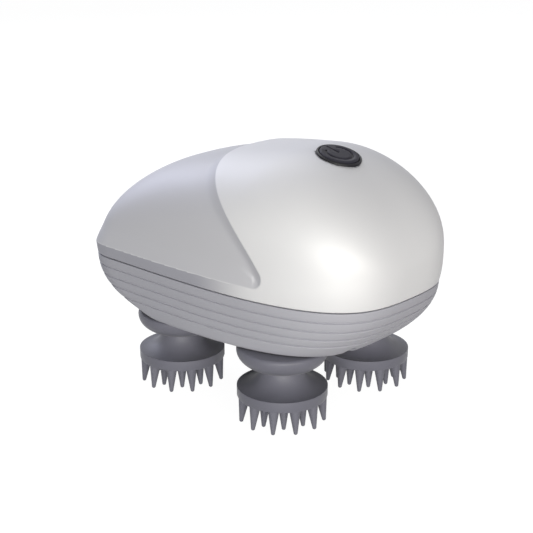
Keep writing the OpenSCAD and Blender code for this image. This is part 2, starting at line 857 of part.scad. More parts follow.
module gearbox_cover() {
    color("gainsboro")
        difference() {
            union() {
                plate(cover_z);
                for (p = HEADS) at(p) rod(cover_bush_r + 1.6, cover_bush_z, cover_z + eps);
                at(TRANSFER) rod(3, cover_z - 1, cover_z + eps);
            }
            for (p = HEADS) at(p) rod(cover_bush_r, cover_bush_z - 1, shaft_top + 1);
            at(TRANSFER) rod(transfer_axle_r, cover_z - 2, cover_top + 1);
            at(MOTOR) rod(nub_r + 0.1, cover_z - 1, cover_top + 1);
            for (p = POSTS) at(p) rod(post_bore + 0.2, cover_z - 1, cover_top + 1);
            for (p = concat(MOTOR_SCREWS, CRADLE_SCREWS))
                at(p) rod(screw_r, cover_z - 1, cover_top + 1);
        }
}

module gearbox_screws() {
    color("silver")
        for (p = POSTS)
            at(p) {
                rod(2, cover_top, cover_top + 1.4);
                rod(post_bore, floor_z + 1, cover_top + eps);
            }
}

module base_bushes() {
    color("peru")
        for (p = HEADS)
            at(p) {
                tube(base_bush_r, shaft_r + run_fit, deck_z, bush_top);
                tube(base_bush_r + 1, shaft_r + run_fit, deck_top, bush_top);
            }
}

module cover_bushes() {
    color("peru")
        for (p = HEADS)
            at(p) tube(cover_bush_r, shaft_r + run_fit, cover_bush_z, cover_bush_z + cover_bush_l);
}

module shaft_seals() {
    color("black")
        for (p = HEADS)
            at(p) {
                tube(seal_r, shaft_r + 0.08, collar_z, collar_z + 1);
                tube(seal_r, shaft_r + 1.4, collar_z + 1 - eps, floor_z);
            }
}

module gear_axles() {
    color("silver")
        for (p = [DRIVE_A, DRIVE_B])
            at(p) rod(axle_r, deck_z, wheel_b_z - 0.6);
}

module transfer_axle() {
    color("silver")
        at(TRANSFER) {
            rod(transfer_axle_r, gear_top + 0.4, cover_top);
            rod(2, gear_top + 0.3, gear_top + 0.8);
        }
}

module transfer_gear() {
    color("ivory")
        at(TRANSFER)
            difference() {
                union() {
                    gear(small_mod, pinion_teeth, turn_transfer, wheel_a_z - 0.1,
                         wheel_b_z - wheel_a_z + 0.2);
                    gear(small_mod, wheel_teeth, 0, wheel_b_z, wheel_face);
                }
                rod(transfer_axle_r + run_fit, wheel_a_z - 1, wheel_b_top + 1);
            }
}

module drive_gear_a() {
    color("ivory")
        at(DRIVE_A)
            difference() {
                union() {
                    gear(coarse_mod, drive_teeth, turn_a, gear_z, gear_face);
                    gear(small_mod, wheel_teeth, 0, wheel_a_z, wheel_face);
                    rod(hub_r, bush_top + 0.2, wheel_a_top);
                }
                rod(axle_r + run_fit, bush_top - 1, wheel_a_top + 1);
            }
}

module drive_gear_b() {
    color("ivory")
        at(DRIVE_B)
            difference() {
                union() {
                    gear(coarse_mod, drive_teeth, turn_b, gear_z, gear_face);
                    rod(hub_r, bush_top + 0.2, gear_top + 0.6);
                }
                rod(axle_r + run_fit, bush_top - 1, gear_top + 2);
            }
}

// ---- Heads, built on their own axis and placed by number ----

flat_at = shaft_r * 0.7;

module head_gear(i) {
    color("ivory")
        at(HEADS[i])
            difference() {
                union() {
                    gear(coarse_mod, head_teeth, head_turn(i), gear_z, gear_face);
                    rod(hub_r, bush_top + 0.2, gear_top + 0.6);
                }
                rod(shaft_r, bush_top - 1, gear_top + 2);
            }
}

module output_shaft(i) {
    color("silver")
        at(HEADS[i])
            difference() {
                rod(shaft_r, shaft_z, shaft_top);
                translate([flat_at, -shaft_r, shaft_z - 1])
                    cube([shaft_r, 2 * shaft_r, cup_floor - shaft_z]);
            }
}

module head_core(i) {
    color("whitesmoke")
        at(HEADS[i])
            difference() {
                union() {
                    rod(foot_r, foot_z, foot_top);
                    rod(core_r, foot_top - eps, cup_floor);
                }
                difference() {
                    rod(shaft_r + 0.05, shaft_z - 0.5, cup_floor + 1);
                    translate([flat_at + 0.05, -shaft_r - 1, shaft_z - 1])
                        cube([shaft_r, 2 * shaft_r + 2, cup_floor - shaft_z - 0.4]);
                }
            }
}

// One tine, leaning outwards from its root to its tip
module tine(root_at, tip_at) {
    lean = atan2(tip_at - root_at, tine_l - tip_r);
    len = (tine_l - tip_r) / cos(lean);
    translate([tip_at, 0, tip_r])
        rotate([0, -lean, 0]) {
            sphere(r = tip_r, $fn = 24);
            cylinder(r1 = tip_r, r2 = tine_r, h = len + 0.4, $fn = 24);
        }
}

// Half section of a brush: disc, trumpet neck and a cup with a well round the collar
function quarter(r0, r1, z0, z1) =
    [for (a = [0:15:90]) [r0 + (r1 - r0) * sin(a), z1 - (z1 - z0) * cos(a)]];
brush_line = concat(
    [[0, disc_z], [disc_r - 0.6, disc_z], [disc_r, disc_z + 0.6]],
    quarter(disc_r, neck_r, disc_top, neck_top),
    quarter(neck_r, cup_r, neck_top + 0.1, bowl_z),
    [for (a = [0:30:90]) [cup_r - cup_edge * (1 - cos(a)), cup_top - cup_edge * (1 - sin(a))]],
    [[well_r, cup_top], [well_r, cup_floor], [core_r, cup_floor], [core_r, foot_top],
     [foot_r, foot_top], [foot_r, foot_z], [0, foot_z]]);

module massage_head(i) {
    color("dimgray")
        at(HEADS[i]) {
            rotate_extrude() polygon(brush_line);
            for (k = [0:outer_tines - 1])
                rotate([0, 0, 360 * k / outer_tines]) tine(disc_r - tine_r, disc_r - 1);
            for (k = [0:inner_tines - 1])
                rotate([0, 0, 360 * k / inner_tines - 45])
                    tine(inner_tine_at, inner_tine_at + lean_out);
        }
}

// ---- Leads ----

module lead(points, r) {
    for (i = [0:len(points) - 2])
        let (a = points[i], b = points[i + 1], d = b - a, l = norm(d))
        translate(a)
            rotate([0, acos(d[2] / l), atan2(d[1], d[0])]) {
                cylinder(r = r, h = l, $fn = 16);
                sphere(r = r * 1.15, $fn = 16);
            }
}

// Place just under the circuit board, in the board's own x and y
function under_board(x, y) =
    let (z = board_z - 1)
    [button_x + x * cos(button_lean) + z * sin(button_lean), y,
     button_z - x * sin(button_lean) + z * cos(button_lean)];

module battery_leads() {
    y = cell_len / 2 + tab_t + 1.2 * lead_r;
    color("red")
        for (sy = [-1, 1])
            lead([[cell_x + 2, sy * y, cell_z + 2], [cell_x + 11, sy * y, cell_z + 4],
                  [cell_x + 17, sy * (y - 7), cell_z + 12], [drive_x + 7.5, sy * 16, motor_top + 4.5],
                  under_board(-9.5, sy * 7)], lead_r);
}

module motor_leads() {
    color("blue")
        for (sy = [-1, 1])
            lead([[MOTOR[0], MOTOR[1] + sy * terminal_at, motor_top + 4.4],
                  under_board(-4.5, sy * 6.5)], lead_r);
}

module charge_leads() {
    start_x = socket_x + 14.4;
    color("orange")
        for (d = [-0.8, 0.8])
            translate([0, d, 0])
                lead([[start_x, 2, socket_z + 1], [start_x + 3, 5, cell_z - 4],
                      [cell_x - cell_r + 1.5, 6, cell_z + 12], [cell_x + 10, 7, motor_top + 4.5],
                      under_board(-11.5, 4)], lead_r);
}

upper_shell();
lower_shell();
shell_gasket();
case_screws();
button_ring();
button_cap();
button_seal();
switch_plunger();
tact_switch();
circuit_board();
board_chips();
board_screws();
charge_board();
charge_socket();
charge_screws();
port_plug();
battery_cell();
battery_tabs();
battery_cradle();
cradle_screws();
motor_can();
motor_end_cap();
motor_terminals();
motor_magnets();
motor_shaft();
rotor_core();
motor_pinion();
motor_screws();
gearbox_base();
gearbox_cover();
gearbox_screws();
base_bushes();
cover_bushes();
shaft_seals();
gear_axles();
transfer_axle();
transfer_gear();
drive_gear_a();
drive_gear_b();
head_gear(0);  // head_gear_1
head_gear(1);  // head_gear_2
head_gear(2);  // head_gear_3
head_gear(3);  // head_gear_4
output_shaft(0);  // output_shaft_1
output_shaft(1);  // output_shaft_2
output_shaft(2);  // output_shaft_3
output_shaft(3);  // output_shaft_4
head_core(0);  // head_core_1
head_core(1);  // head_core_2
head_core(2);  // head_core_3
head_core(3);  // head_core_4
massage_head(0);  // massage_head_1
massage_head(1);  // massage_head_2
massage_head(2);  // massage_head_3
massage_head(3);  // massage_head_4
battery_leads();
motor_leads();
charge_leads();
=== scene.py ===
import bmesh
import bpy
import math
from mathutils import Matrix, Vector


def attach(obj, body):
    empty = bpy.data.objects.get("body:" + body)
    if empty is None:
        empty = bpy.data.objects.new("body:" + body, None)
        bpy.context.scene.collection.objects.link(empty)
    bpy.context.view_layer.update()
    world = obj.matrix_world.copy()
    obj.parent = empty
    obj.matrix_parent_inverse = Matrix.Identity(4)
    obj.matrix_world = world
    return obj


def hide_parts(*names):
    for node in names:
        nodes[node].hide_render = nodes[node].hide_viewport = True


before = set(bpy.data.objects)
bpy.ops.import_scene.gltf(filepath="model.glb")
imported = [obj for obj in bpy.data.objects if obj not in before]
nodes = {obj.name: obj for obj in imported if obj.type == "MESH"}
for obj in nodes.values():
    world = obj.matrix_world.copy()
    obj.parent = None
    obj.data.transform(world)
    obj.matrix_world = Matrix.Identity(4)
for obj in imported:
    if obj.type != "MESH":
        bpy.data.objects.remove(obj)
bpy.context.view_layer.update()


# ---- Lower shell ----
# The grey belly of the case, injection moulded in ABS with a satin spark-eroded skin. Four
# narrow grooves run round it, and its flat floor carries the collars of the brush heads.
# All lengths below are in millimetres until a piece is finished.

CASE_L = 65.5
CASE_W = 43.5
DOME_H = 39.4
HULL_H = 38.9
BELLY_Z = 54.5
BELLY_RISE = 0.08
WALL = 2.4
JOINT_Z = 48.9
GASKET = 0.4
FLOOR_Z = 29.0
FLOOR_T = 2.0
HULL_TOP = JOINT_Z - GASKET / 2
# Each curve along the case: where it is widest, and its powers towards the nose and the tail.
PLAN_CURVE = (-45, 2.75, 3.4)
DOME_CURVE = (17, 2.7, 1.8)
HULL_CURVE = (-2.5, 2.25, 2.75)
# The powers of the curves across the case. The dome's grows from the nose to the tail.
DOME_POWER = 2.3
DOME_POWER_GAIN = 0.8
HULL_POWER = 2.45
# How far the outline draws in down to the floor, as a share, and with which power of the depth.
NOSE_TAPER = (0.56, 2.8)
TAIL_TAPER = (0.213, 1.95)
SIDE_TAPER = (0.05, 1.8)
NOSE_TUCK = 0.6
TUCK_SWELL = 2.6
TUCK_END = 36.0
TUCK_START_X = 25
TUCK_FADE = 65
GROOVES = (0.196, 0.384, 0.556, 0.723)
# Edges in steps: the height away from an end or a groove's middle, and the depth behind the skin.
RIM_EDGE = ((0.0, 0.3), (0.04, 0.14), (0.13, 0.04), (0.3, 0.0))
GROOVE_EDGE = ((0.6, 0.0), (0.4, 0.04), (0.25, 0.18), (0.1, 0.55))
FLOOR_EDGE = ((1.2, 0.0), (0.7, 0.1), (0.3, 0.36), (0.08, 0.75), (0.0, 1.2))
HEADS = ((-25.79, -24.4), (26.79, -24.4), (26.79, 24.4), (-25.79, 24.4))
POSTS = ((-14.5, -34.5), (-14.5, 34.5), (15.5, -34.5), (15.5, 34.5))
CASE_SCREWS = ((-50, -16), (-50, 16), (50, -16), (50, 16))


def lame(u, power):
    """Superellipse: 1 in the middle, 0 at the end."""
    return max(0.0, 1 - min(1.0, abs(u)) ** power) ** (1 / power)


def along(x, half, middle, nose, tail):
    """The same along the case, with its own power towards each end."""
    if x < middle:
        return lame((middle - x) / (middle + half), nose)
    return lame((x - middle) / (half - middle), tail)


def egg(p, inset=0.0):
    """Below 0 inside the egg of the case, above 0 outside it."""
    half = CASE_L - inset
    belly = BELLY_Z + BELLY_RISE * p.x
    if abs(p.x) >= half:
        return abs(p.x) - half
    plan = max(0.001, (CASE_W - inset) * along(p.x, half, *PLAN_CURVE))
    if p.z >= belly:
        rise = (DOME_H - inset) * along(p.x, half, *DOME_CURVE)
        power = DOME_POWER + DOME_POWER_GAIN * (p.x + CASE_L) / (2 * CASE_L)
    else:
        rise = (HULL_H - inset) * along(p.x, half, *HULL_CURVE)
        power = HULL_POWER
    return (abs(p.y) / plan) ** power + (abs(p.z - belly) / max(0.001, rise)) ** power - 1


def skin(inside, way, inset=0.0):
    """The point where a line from inside the egg meets its skin."""
    low, high = 0.0, 90.0
    for _ in range(22):
        middle = (low + high) / 2
        if egg(inside + way * middle, inset) < 0:
            low = middle
        else:
            high = middle
    return inside + way * low


def eased(share):
    """A share kept between 0 and 1, with a soft start and end."""
    share = min(1.0, max(0.0, share))
    return share * share * (3 - 2 * share)


def nose_share(x):
    """1 over the nose, fading to 0 where the step's corner stands."""
    return eased((TUCK_START_X - x) / TUCK_FADE)


def hull_point(angle, z, inset, floor_t=0.0):
    """A point of the hull at a height: the joint's outline, drawn in towards the floor."""
    way = Vector((math.cos(angle), math.sin(angle), 0))
    edge = skin(Vector((0, 0, HULL_TOP)), way, inset)
    below = min(1.0, (JOINT_Z - z) / (JOINT_Z - TUCK_END))
    edge -= way * NOSE_TUCK * nose_share(edge.x) * (1 - below) * (1 + TUCK_SWELL * below)
    depth = min(1.0, max(0.0, (JOINT_Z - z + floor_t) / (JOINT_Z - FLOOR_Z)))
    loss, power = NOSE_TAPER if edge.x < 0 else TAIL_TAPER
    edge.x *= 1 - loss * depth ** power
    loss, power = SIDE_TAPER
    edge.y *= 1 - loss * depth ** power
    return Vector((edge.x, edge.y, z))


def lay_ring(ring, z, inset, floor_t=0.0):
    """Lays a loop of vertices on the hull at a height."""
    for k, v in enumerate(ring):
        v.co = hull_point(2 * math.pi * k / len(ring), z, inset, floor_t)


def next_ring(bm, ring):
    """Extrudes a loop and gives the new loop in the same order."""
    edges = [bm.edges.get((a, b)) for a, b in zip(ring, ring[1:] + ring[:1])]
    made = bmesh.ops.extrude_edge_only(bm, edges=edges)["geom"]
    fresh = {v.co.to_tuple(6): v for v in made if isinstance(v, bmesh.types.BMVert)}
    return [fresh[v.co.to_tuple(6)] for v in ring]


def finish_mesh(bm, name, sharp=35):
    """Millimetres to metres, faces outwards, smooth but for its hard edges, into a mesh."""
    bmesh.ops.recalc_face_normals(bm, faces=bm.faces)
    for f in bm.faces:
        f.smooth = True
    for e in bm.edges:
        e.smooth = e.calc_face_angle(0) < math.radians(sharp)
    bmesh.ops.scale(bm, vec=(0.001, 0.001, 0.001), verts=bm.verts)
    mesh = bpy.data.meshes.new(name)
    bm.to_mesh(mesh)
    bm.free()
    return mesh


def fit_piece(name, bm, body, node, slot, *materials, sharp=35):
    """A finished piece that rides on a body and stands for a node of the frame."""
    made = bpy.data.objects.new(name, finish_mesh(bm, name, sharp))
    bpy.context.scene.collection.objects.link(made)
    for material in materials:
        made.data.materials.append(material)
    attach(made, body)
    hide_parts(node)
    return made


def cut_out(target, bm):
    """Takes the closed shapes of a bmesh out of a finished piece."""
    tool = bpy.data.objects.new("cutter", finish_mesh(bm, "cutter"))
    bpy.context.scene.collection.objects.link(tool)
    boolean = target.modifiers.new("openings", "BOOLEAN")
    boolean.object = tool
    boolean.solver = "MANIFOLD"
    bpy.context.view_layer.update()
    cut = target.evaluated_get(bpy.context.evaluated_depsgraph_get())
    shaped = bpy.data.meshes.new_from_object(cut)
    target.modifiers.clear()
    target.data = shaped
    bpy.data.objects.remove(tool)


def add_drum(bm, x, y, low, high, radius):
    """A closed drum between two heights."""
    bmesh.ops.create_cone(bm, cap_ends=True, segments=64, radius1=radius, radius2=radius, depth=high - low,
                          matrix=Matrix.Translation((x, y, (low + high) / 2)))


def add_turned(bm, outline, place=Matrix.Identity(4), steps=96):
    """Spins an outline of (radius, height) points round the Z axis, closed where it meets the axis."""
    verts = [bm.verts.new((r, 0, z)) for r, z in outline]
    edges = [bm.edges.new(pair) for pair in zip(verts, verts[1:])]
    if outline[0][0] > 0:
        edges.append(bm.edges.new((verts[-1], verts[0])))
    bmesh.ops.spin(bm, geom=verts + edges, cent=(0, 0, 0), axis=(0, 0, 1), angle=2 * math.pi,
                   steps=steps, use_merge=True, use_duplicate=False)
    linked = set(verts) | {v for e in edges for v in e.verts}
    queue = list(linked)
    while queue:
        for e in queue.pop().link_edges:
            for v in e.verts:
                if v not in linked:
                    linked.add(v)
                    queue.append(v)
    bmesh.ops.remove_doubles(bm, verts=list(linked), dist=0.0005)
    turned = [v for v in linked if v.is_valid]
    bmesh.ops.transform(bm, matrix=place, verts=turned)


def join_in(target, bm):
    """Adds the closed shapes of a bmesh to a finished piece."""
    extra = finish_mesh(bm, "extra")
    both = bmesh.new()
    both.from_mesh(target.data)
    both.from_mesh(extra)
    both.to_mesh(target.data)
    both.free()
    bpy.data.meshes.remove(extra)


def linear(hex_code):
    """An sRGB hex colour as the linear one that a shader takes."""
    parts = [int(hex_code[k:k + 2], 16) / 255 for k in (0, 2, 4)]
    return [c / 12.92 if c <= 0.04045 else ((c + 0.055) / 1.055) ** 2.4 for c in parts] + [1.0]


def start(name, **sockets):
    """A new material with its shader's own sockets set."""
    material = bpy.data.materials.new(name)
    material.use_nodes = True
    shader = material.node_tree.nodes["Principled BSDF"]
    for key, value in sockets.items():
        shader.inputs[key.replace("_", " ")].default_value = value
    return material, material.node_tree, shader


def add(tree, kind, links=None, values=None, **settings):
    """Adds a node with its settings, its linked sockets and the values of its others."""
    made = tree.nodes.new(kind)
    for key, value in settings.items():
        setattr(made, key, value)
    for key, value in (values or {}).items():
        made.inputs[key].default_value = value
    for key, source in (links or {}).items():
        tree.links.new(source, made.inputs[key])
    return made


def skin_detail(tree, shader, dark, light, patch, rough, grain, depth, stretch=(1, 1, 1)):
    """Colour and gloss that drift over patches of a size, and a grain as a bump, all in millimetres."""
    place = add(tree, "ShaderNodeTexCoord").outputs["Object"]
    scaled = add(tree, "ShaderNodeMapping", {"Vector": place}, {"Scale": [1000 * s for s in stretch]})
    drift = add(tree, "ShaderNodeTexNoise", {"Vector": scaled.outputs["Vector"]},
                {"Scale": 1 / patch, "Detail": 3.0})
    tone = add(tree, "ShaderNodeMix", {"Factor": drift.outputs["Fac"]}, data_type="RGBA")
    tone.inputs["A"].default_value = linear(dark)
    tone.inputs["B"].default_value = linear(light)
    tree.links.new(tone.outputs["Result"], shader.inputs["Base Color"])
    spread = add(tree, "ShaderNodeMapRange", {"Value": drift.outputs["Fac"]},
                 {"From Min": 0.3, "From Max": 0.7, "To Min": rough[0], "To Max": rough[1]})
    tree.links.new(spread.outputs["Result"], shader.inputs["Roughness"])
    fine = add(tree, "ShaderNodeTexNoise", {"Vector": scaled.outputs["Vector"]},
               {"Scale": 1 / grain, "Detail": 2.0})
    relief = add(tree, "ShaderNodeBump", {"Height": fine.outputs["Fac"]}, {"Distance": depth / 1000})
    tree.links.new(relief.outputs["Normal"], shader.inputs["Normal"])


# ABS from a spark-eroded mould: an even satin grey whose very fine grain softens the light.
grey_abs, tree, shader = start("satin grey ABS", Specular_IOR_Level=0.15)
skin_detail(tree, shader, "A5A5AF", "ABABB5", 25, (0.45, 0.53), 0.5, 0.01)


def plain_down(levels, z):
    """Adds three levels of plain wall, the last one at a height."""
    above = levels[-1][0]
    levels.extend([(above + (z - above) * share, 0.0) for share in (0.33, 0.66, 1.0)])


levels = [(HULL_TOP - drop, inset) for drop, inset in RIM_EDGE]
for share in GROOVES:
    z = JOINT_Z - share * (JOINT_Z - FLOOR_Z)
    plain_down(levels, z + GROOVE_EDGE[0][0])
    levels += [(z + away, inset) for away, inset in GROOVE_EDGE[1:]]
    levels += [(z - away, inset) for away, inset in reversed(GROOVE_EDGE)]
plain_down(levels, FLOOR_Z + FLOOR_EDGE[0][0])
levels += [(FLOOR_Z + up, inset) for up, inset in FLOOR_EDGE[1:]]

bm = bmesh.new()
rim = bmesh.ops.create_circle(bm, segments=288, radius=1)["verts"]
ring = rim
lay_ring(ring, *levels[0])
for z, inset in levels[1:]:
    ring = next_ring(bm, ring)
    lay_ring(ring, z, inset)
bmesh.ops.contextual_create(bm, geom=ring)
ring = next_ring(bm, rim)
lay_ring(ring, HULL_TOP, WALL)
for share in (0.25, 0.5, 0.7, 0.84, 0.94, 1.0):
    ring = next_ring(bm, ring)
    lay_ring(ring, HULL_TOP - share * (HULL_TOP - FLOOR_Z - FLOOR_T), WALL, FLOOR_T * share)
bmesh.ops.contextual_create(bm, geom=ring)
lower_shell = fit_piece("belly_shell", bm, "case", "lower_shell", "shell_grey", grey_abs)

PORT_W = 9.0
PORT_H = 3.2
PORT_Z = 43.8
SLOT_END = -57.6
FLANGE_W = 1.4
FLANGE_T = 1.5
SLIDE_FIT = 0.3
POCKET_W = FLANGE_W + SLIDE_FIT
POCKET_BEVEL = 0.25
BEVEL_FOOT = 0.1


def nose_point(y, z, depth):
    """A point at a depth behind the skin of the nose."""
    low, high = math.pi / 2, math.pi
    for _ in range(18):
        middle = (low + high) / 2
        if hull_point(middle, z, 0.0).y > abs(y):
            low = middle
        else:
            high = middle
    return Vector((hull_point(high, z, 0.0).x + depth, y, z))


def add_port_shape(bm, levels):
    """A closed shape with the port's rounded outline; a level is its growth and its depth or its x."""
    rim = bmesh.ops.create_circle(bm, segments=96, radius=1)["verts"]
    ring = rim
    for grow, depth, x in levels:
        if (grow, depth, x) != levels[0]:
            ring = next_ring(bm, ring)
        for k, v in enumerate(ring):
            turn = 2 * math.pi * k / len(ring)
            c, h = math.cos(turn), math.sin(turn)
            y = (PORT_W / 2 + grow) * math.copysign(math.sqrt(abs(c)), c)
            z = PORT_Z + (PORT_H / 2 + grow) * math.copysign(math.sqrt(abs(h)), h)
            v.co = nose_point(y, z, depth) if x is None else (x, y, z)
    bmesh.ops.contextual_create(bm, geom=ring)
    bmesh.ops.contextual_create(bm, geom=rim)


BORE_R = 4
SEAL_R = 6
COLLAR_R = 8
COLLAR_END = 25.4
COLLAR_BEVEL = 0.3
BOSS_R = 3.6
SCREW_HEAD_R = 2.7
SCREW_SEAT = 42
SCREW_HOLE_R = 1.5
BOSS_FOOT = 36
POST_R = 3
POST_HOLE_R = 0.9
POST_TOP = 33.5
POST_FOOT = 29.8

openings = bmesh.new()
add_port_shape(openings, [(SLIDE_FIT, 0, SLOT_END), (SLIDE_FIT, FLANGE_T, None), (POCKET_W, FLANGE_T, None),
                          (POCKET_W, BEVEL_FOOT, None),
                          (POCKET_W + POCKET_BEVEL, BEVEL_FOOT - POCKET_BEVEL, None),
                          (POCKET_W + POCKET_BEVEL, -3, None)])
for x, y in HEADS:
    add_drum(openings, x, y, FLOOR_Z - 2, FLOOR_Z + 4, BORE_R)
for x, y in CASE_SCREWS:
    add_drum(openings, x, y, FLOOR_Z - 9, SCREW_SEAT - 1, SCREW_HEAD_R)
cut_out(lower_shell, openings)

collar = [(BORE_R, FLOOR_Z + FLOOR_T), (BORE_R, FLOOR_Z), (SEAL_R, FLOOR_Z), (SEAL_R, COLLAR_END),
          (COLLAR_R - COLLAR_BEVEL, COLLAR_END), (COLLAR_R, COLLAR_END + COLLAR_BEVEL),
          (COLLAR_R, FLOOR_Z + FLOOR_T)]
boss = [(SCREW_HOLE_R, HULL_TOP), (SCREW_HOLE_R, SCREW_SEAT), (SCREW_HEAD_R, SCREW_SEAT),
        (SCREW_HEAD_R, BOSS_FOOT), (BOSS_R, BOSS_FOOT), (BOSS_R, HULL_TOP)]
post = [(POST_HOLE_R, POST_TOP), (POST_HOLE_R, POST_FOOT), (POST_R, POST_FOOT), (POST_R, POST_TOP)]
bosses = bmesh.new()
for places, outline, steps in ((HEADS, collar, 96), (CASE_SCREWS, boss, 48), (POSTS, post, 48)):
    for x, y in places:
        add_turned(bosses, outline, Matrix.Translation((x, y, 0)), steps)
join_in(lower_shell, bosses)


# ---- Port plug ----
# A soft silicone plug over the charging socket. Its flange lies in a pocket of the nose, flush
# with the skin, and its body fills the slot and holds by its own squeeze.

PLUG_END = -60.7
FLANGE_SUNK = 0.1
# The flange's rounded edge, as steps in from its outline and depths behind the skin, and its face.
FLANGE_EDGE = ((0.0, 0.45), (0.08, 0.25), (0.25, 0.13), (0.5, FLANGE_SUNK))
FLANGE_FACE = (0.3, -0.5, -1.1, -1.5)

# Liquid silicone from a matt mould: slate grey, soft to the light, with a faint bloom on its skin.
silicone, tree, shader = start("matt slate silicone", IOR=1.43, Sheen_Weight=0.1)
skin_detail(tree, shader, "62626E", "6A6A76", 8, (0.45, 0.56), 0.35, 0.008)

levels = [(0, 0, PLUG_END), (0, FLANGE_T, None), (FLANGE_W, FLANGE_T, None)]
levels += [(FLANGE_W - step, depth, None) for step, depth in FLANGE_EDGE]
levels += [(grow, FLANGE_SUNK, None) for grow in FLANGE_FACE]
bm = bmesh.new()
add_port_shape(bm, levels)
fit_piece("port_cover_plug", bm, "port_cover", "port_plug", "silicone_slate", silicone)


# ---- Gearbox ----
# Two plates on four posts, moulded in glass-filled nylon, with bronze bushes pressed into both and
# lip seals under them. Milled acetal gears turn on ground steel shafts and axles.


def dress(material, *names):
    """Gives nodes of the frame a better finish."""
    for name in names:
        for place in nodes[name].material_slots:
            place.material = material


def each_head(name):
    """The four nodes of a piece that every head has."""
    return [f"{name}_{number}" for number in range(1, 5)]


# Glass-filled nylon: dull mid grey, its fibres showing as short faint streaks.
glass_nylon, tree, shader = start("glass-filled nylon")
skin_detail(tree, shader, "8F9195", "A3A5A9", 1.2, (0.5, 0.66), 0.5, 0.03, (1, 0.25, 1))
dress(glass_nylon, "gearbox_base", "gearbox_cover")
# Natural acetal: creamy white and slick, with fine cutter marks across the faces.
acetal, tree, shader = start("milled natural acetal", IOR=1.48)
skin_detail(tree, shader, "EAE6DA", "F2EFE4", 5, (0.3, 0.42), 0.3, 0.008, (1, 3, 1))
dress(acetal, "transfer_gear", "drive_gear_a", "drive_gear_b", *each_head("head_gear"))
# Ground stainless steel: bright, with grinding rings that run round the shaft.
ground_steel, tree, shader = start("ground stainless steel", Metallic=1.0)
skin_detail(tree, shader, "B2B4B8", "C4C6C9", 4, (0.2, 0.34), 0.4, 0.004, (0.3, 0.3, 4))
dress(ground_steel, "gear_axles", "transfer_axle", "motor_shaft", *each_head("output_shaft"))
# Sintered bronze: brown and slightly porous, dark where the pores hold oil.
bronze, tree, shader = start("sintered bronze", Metallic=1.0)
skin_detail(tree, shader, "8C6238", "B08250", 0.8, (0.38, 0.55), 0.25, 0.02)
dress(bronze, "base_bushes", "cover_bushes")
# Nitrile rubber: black and dull, from a fine-blasted mould.
nitrile, tree, shader = start("black nitrile rubber")
skin_detail(tree, shader, "1D1D1F", "262629", 3, (0.6, 0.78), 0.3, 0.012)
dress(nitrile, "shaft_seals", "button_seal")
# Zinc-plated steel: pale and slightly blue, cloudy from the plating bath.
zinc_plate, tree, shader = start("zinc-plated steel", Metallic=1.0)
skin_detail(tree, shader, "AEB4BB", "CBD0D6", 1.5, (0.26, 0.42), 0.3, 0.006)
dress(zinc_plate, "case_screws", "gearbox_screws", "motor_screws", "cradle_screws", "board_screws",
      "charge_screws")


# ---- Motor ----
# A small brushed motor: a drawn steel can, nickel plated, with two ferrite magnets glued inside,
# a wound rotor, a nylon end cap with brass terminals, and a brass pinion pressed on its shaft.

# Nickel plate on drawn steel: warm grey, with faint draw lines down the can.
nickel_can, tree, shader = start("nickel-plated drawn steel", Metallic=1.0)
skin_detail(tree, shader, "A8A7A2", "BAB8B2", 6, (0.24, 0.36), 0.4, 0.005, (3, 3, 0.2))
dress(nickel_can, "motor_can")
# Ferrite: charcoal black, ground flat and dusty.
ferrite, tree, shader = start("ground ferrite")
skin_detail(tree, shader, "2A2A2C", "3A3A3C", 1, (0.62, 0.8), 0.2, 0.02)
dress(ferrite, "motor_magnets")
# Enamelled copper wire: red-brown bands of wire under varnish, 0.6 mm apart.
winding, tree, shader = start("varnished copper winding", Metallic=0.8, Coat_Weight=0.5)
skin_detail(tree, shader, "8A4A26", "B8703E", 0.6, (0.3, 0.45), 0.6, 0.05, (1, 1, 0.1))
dress(winding, "rotor_core")
# Turned brass: clean yellow with fine tool rings.
brass, tree, shader = start("turned brass", Metallic=1.0)
skin_detail(tree, shader, "B4934E", "C9A95E", 2, (0.22, 0.36), 0.25, 0.006, (0.3, 0.3, 4))
dress(brass, "motor_terminals", "motor_pinion")
# Natural nylon: off-white and a little waxy.
nylon, tree, shader = start("natural nylon", IOR=1.53)
skin_detail(tree, shader, "D8D2C2", "E3DECF", 4, (0.4, 0.52), 0.3, 0.01)
dress(nylon, "motor_end_cap")


# ---- Battery ----
# One lithium cell in a shrink sleeve lies across the case in a white cradle, which two screws hold
# on the gearbox cover. Nickel strips are spot welded to its ends.

# Shrink sleeve: smooth blue film, tight and glossy.
sleeve, tree, shader = start("blue shrink sleeve", Coat_Weight=0.3, Coat_Roughness=0.1)
skin_detail(tree, shader, "2C5CA2", "3466B0", 12, (0.25, 0.36), 1.5, 0.02)
dress(sleeve, "battery_cell")
# Rolled nickel: pale warm metal with straight rolling lines.
nickel_strip, tree, shader = start("rolled nickel strip", Metallic=1.0)
skin_detail(tree, shader, "B8B4A8", "CCC8BC", 2, (0.25, 0.38), 0.25, 0.005, (1, 1, 0.15))
dress(nickel_strip, "battery_tabs")
# White ABS from a plain mould: even and satin.
white_abs, tree, shader = start("moulded white ABS")
skin_detail(tree, shader, "E2E2DE", "ECECE8", 8, (0.38, 0.5), 0.35, 0.01)
dress(white_abs, "battery_cradle", "switch_plunger", *each_head("head_core"))


# ---- Boards and leads ----
# The control board hangs from the button's frame and the charging board stands behind the nose.
# Stranded leads in coloured PVC join the cell, the motor and both boards.

# Solder mask on glass fibre: deep green lacquer over a fine weave.
solder_mask, tree, shader = start("green solder mask", Coat_Weight=0.4, Coat_Roughness=0.15)
skin_detail(tree, shader, "1A6236", "237440", 2.5, (0.3, 0.42), 0.5, 0.015)
dress(solder_mask, "circuit_board", "charge_board")
